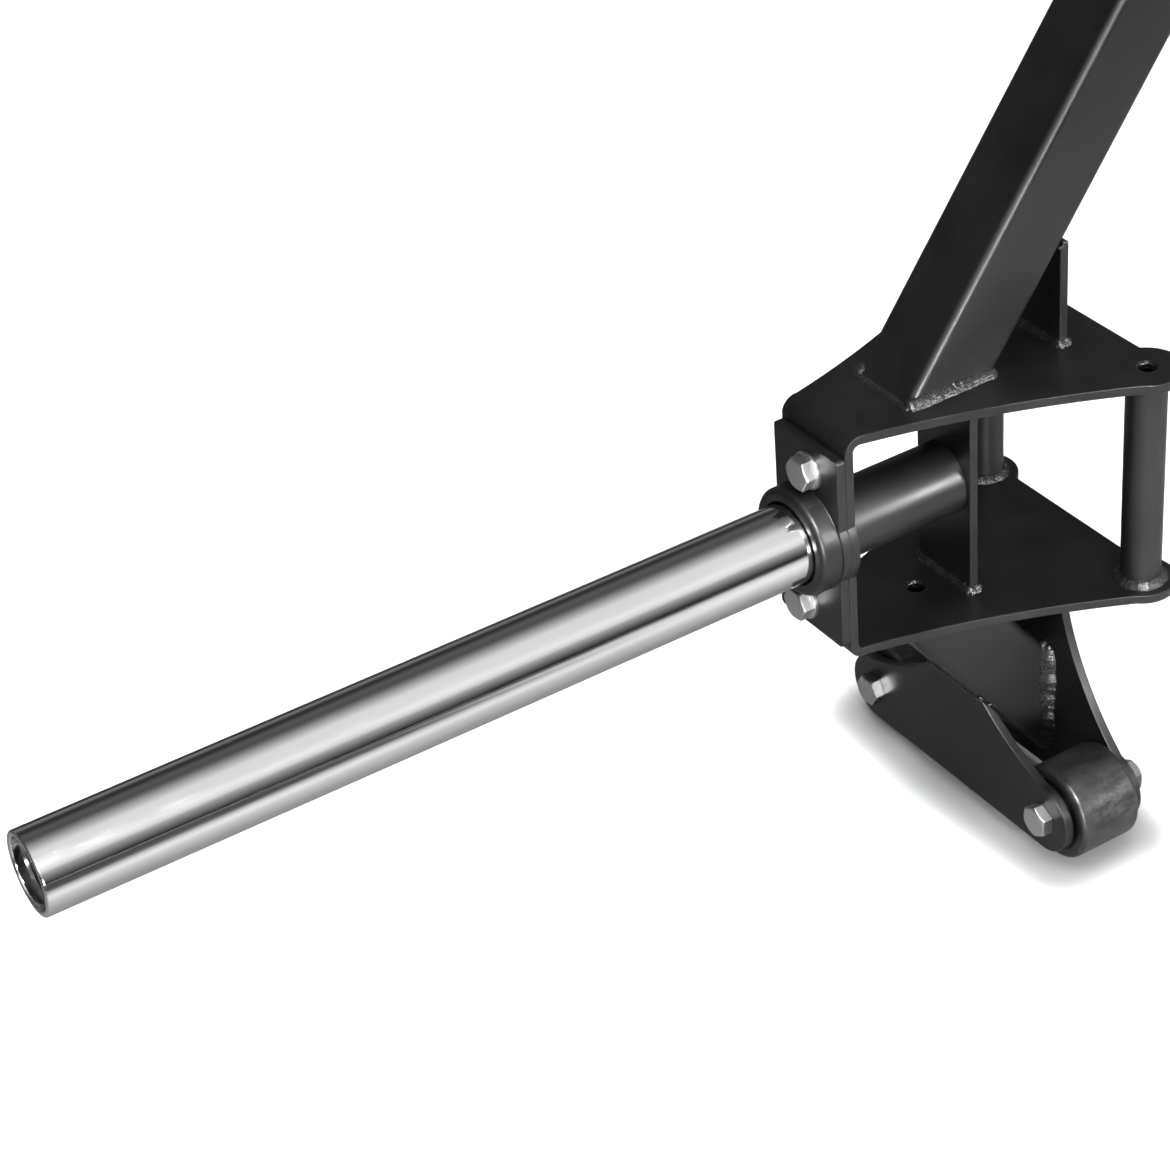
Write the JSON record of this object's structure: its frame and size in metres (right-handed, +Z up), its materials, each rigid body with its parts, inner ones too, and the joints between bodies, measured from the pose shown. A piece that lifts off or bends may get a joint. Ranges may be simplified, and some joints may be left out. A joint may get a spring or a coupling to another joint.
{
  "type": "trap bar",
  "caption": "Open-ended trap bar on built-in roller feet: arched square-tube frame, twin-handle C brackets and rotating chrome plate sleeves.",
  "frame": {"origin": "on the floor, midway between the two sleeves and between the front and rear rollers", "axes": "+X along the sleeves to the right, +Y from front to rear, +Z up; the bar stands on its feet"},
  "size_m": [2.034, 0.234, 0.669],
  "materials": {
    "frame_black": "satin black powder coat",
    "sleeve_chrome": "polished hard chrome",
    "zinc_steel": "bright zinc plate",
    "turned_steel": "turned steel, oiled",
    "bronze": "sintered bronze",
    "roller_steel": "black-coated steel worn by the floor",
    "plug_black": "moulded black"
  },
  "bodies": {
    "frame": {"c_bracket_left": "frame_black", "c_bracket_right": "frame_black", "inner_plate_left": "frame_black", "inner_plate_right": "frame_black", "spindle_socket_left": "frame_black", "spindle_socket_right": "frame_black", "front_handle_left": "frame_black", "front_handle_right": "frame_black", "rear_handle_left": "frame_black", "rear_handle_right": "frame_black", "upright_left": "frame_black", "upright_right": "frame_black", "upright_gusset_left": "frame_black", "upright_gusset_right": "frame_black", "sleeve_mount_left": "frame_black", "sleeve_mount_right": "frame_black", "spindle_left": "turned_steel", "spindle_right": "turned_steel", "foot_strut_left": "frame_black", "foot_strut_right": "frame_black", "foot_inner_plate_left": "frame_black", "foot_inner_plate_right": "frame_black", "foot_outer_plate_left": "frame_black", "foot_outer_plate_right": "frame_black", "crossbar": "frame_black", "thrust_washers": "bronze", "retaining_rings": "turned_steel", "mount_bolts": "zinc_steel", "mount_washers": "zinc_steel", "mount_nuts": "zinc_steel", "roller_spacers": "turned_steel", "axle_bolts": "zinc_steel", "axle_washers": "zinc_steel", "axle_nuts": "zinc_steel"},
    "sleeve_left": {"sleeve_left": "sleeve_chrome", "sleeve_bushes_left": "bronze", "sleeve_plug_left": "plug_black"},
    "front_roller_left": {"front_roller_left": "roller_steel"},
    "rear_roller_left": {"rear_roller_left": "roller_steel"},
    "sleeve_right": {"sleeve_right": "sleeve_chrome", "sleeve_bushes_right": "bronze", "sleeve_plug_right": "plug_black"},
    "front_roller_right": {"front_roller_right": "roller_steel"},
    "rear_roller_right": {"rear_roller_right": "roller_steel"}
  },
  "joints": [
    {"name": "sleeve_left_spin", "type": "hinge", "parent": "frame", "child": "sleeve_left", "pos_m": [-0.773, 0, 0.2435], "axis": [-1, 0, 0], "continuous": true},
    {"name": "front_roller_left_spin", "type": "hinge", "parent": "frame", "child": "front_roller_left", "pos_m": [-0.377, -0.086, 0.031], "axis": [1, 0, 0], "continuous": true},
    {"name": "rear_roller_left_spin", "type": "hinge", "parent": "frame", "child": "rear_roller_left", "pos_m": [-0.377, 0.086, 0.031], "axis": [1, 0, 0], "continuous": true},
    {"name": "sleeve_right_spin", "type": "hinge", "parent": "frame", "child": "sleeve_right", "pos_m": [0.773, 0, 0.2435], "axis": [1, 0, 0], "continuous": true},
    {"name": "front_roller_right_spin", "type": "hinge", "parent": "frame", "child": "front_roller_right", "pos_m": [0.377, -0.086, 0.031], "axis": [1, 0, 0], "continuous": true},
    {"name": "rear_roller_right_spin", "type": "hinge", "parent": "frame", "child": "rear_roller_right", "pos_m": [0.377, 0.086, 0.031], "axis": [1, 0, 0], "continuous": true}
  ]
}
